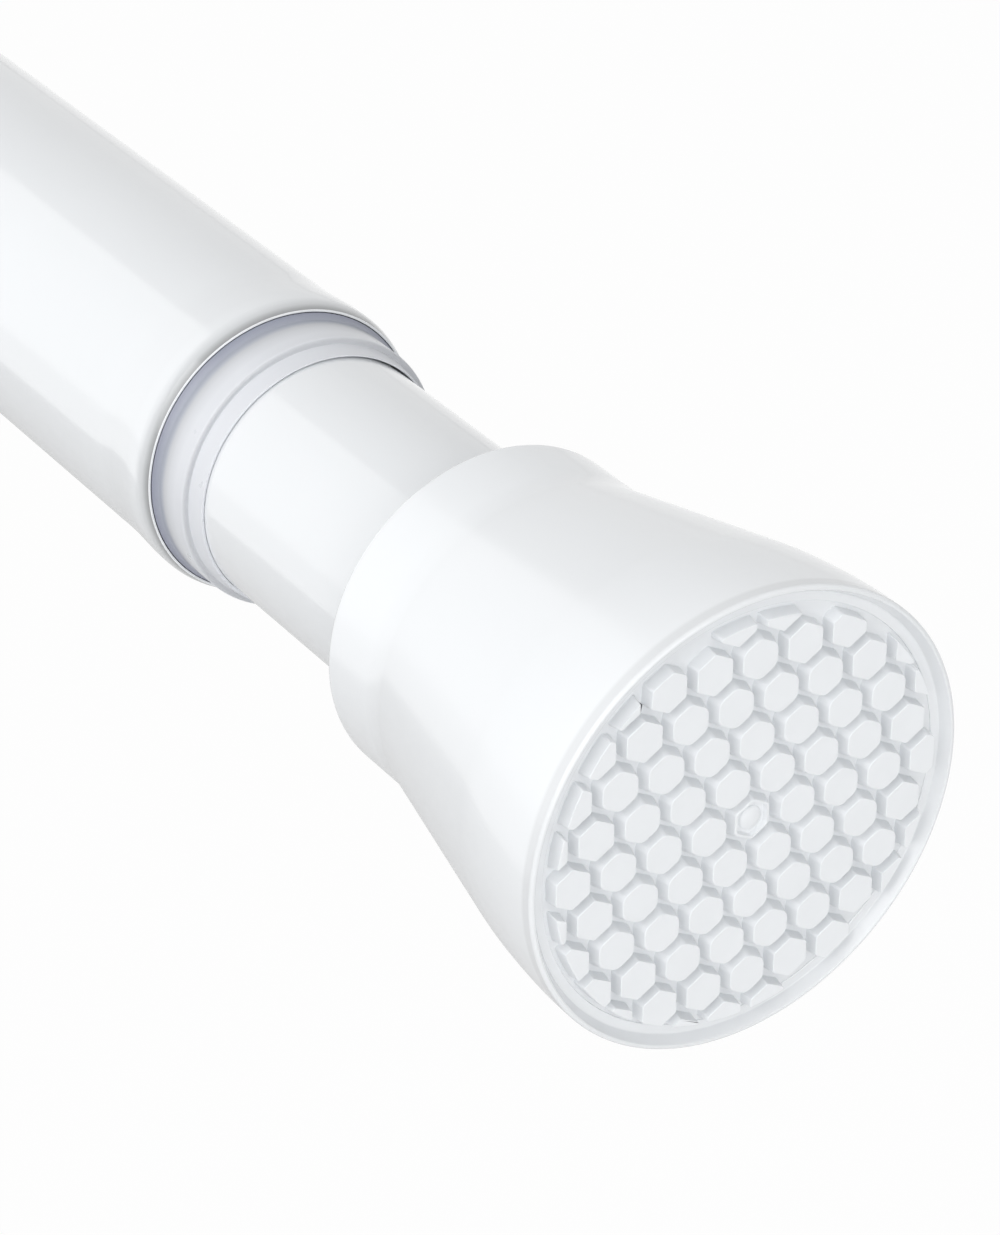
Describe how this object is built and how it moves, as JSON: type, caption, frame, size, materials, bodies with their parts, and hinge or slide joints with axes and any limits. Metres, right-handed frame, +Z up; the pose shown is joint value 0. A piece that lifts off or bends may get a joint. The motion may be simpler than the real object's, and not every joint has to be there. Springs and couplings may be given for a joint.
{
  "type": "spring tension rod",
  "caption": "White telescoping spring tension rod with a twist lock inside, flared end feet and studded rubber pads that press between two facing walls.",
  "frame": {"origin": "on the rod's axis at the wall face of the outer tube's pad", "axes": "+X along the rod from the outer tube's end to the inner tube's end, +Z up, +Y by the right-hand rule"},
  "size_m": [0.4, 0.0376, 0.0378],
  "materials": {
    "tube_paint": "gloss",
    "foot_plastic": "semi-gloss",
    "pad_rubber": "satin",
    "clear_plastic": "clear",
    "lock_plastic": "matt",
    "core_plastic": "matt",
    "spring_steel": "drawn",
    "plated_steel": "zinc plated"
  },
  "bodies": {
    "outer_side": {"outer_tube": "tube_paint", "mouth_collar": "clear_plastic", "outer_end_cap": "foot_plastic", "outer_end_pad": "pad_rubber"},
    "lock_sleeve": {"lock_ring": "lock_plastic", "lock_band_rear": "spring_steel", "lock_band_front": "spring_steel"},
    "core_side": {"lock_core": "core_plastic", "keeper_plate": "plated_steel", "keeper_screw": "plated_steel", "core_pin": "plated_steel", "push_rod": "plated_steel", "core_seat_washer": "plated_steel", "compression_spring": "spring_steel", "stop_washer": "plated_steel", "stop_nut": "plated_steel"},
    "inner_side": {"slider_plug": "lock_plastic", "plug_pins": "plated_steel", "guide_bush": "lock_plastic", "plug_seat_washer": "plated_steel", "inner_tube": "tube_paint", "inner_end_cap": "foot_plastic", "inner_end_pad": "pad_rubber"}
  },
  "joints": [
    {"name": "length_adjust", "type": "slide", "parent": "outer_side", "child": "lock_sleeve", "axis": [1, 0, 0], "range_m": [0, 0.2]},
    {"name": "lock_twist", "type": "hinge", "parent": "lock_sleeve", "child": "core_side", "pos_m": [0.02725, 0, 0], "axis": [1, 0, 0], "range_deg": [0, 30]},
    {"name": "spring_stroke", "type": "slide", "parent": "core_side", "child": "inner_side", "axis": [1, 0, 0], "range_m": [-0.022, 0], "stiffness_N_per_m": 1800, "springref_m": 0.01, "deforming": ["compression_spring"]}
  ]
}
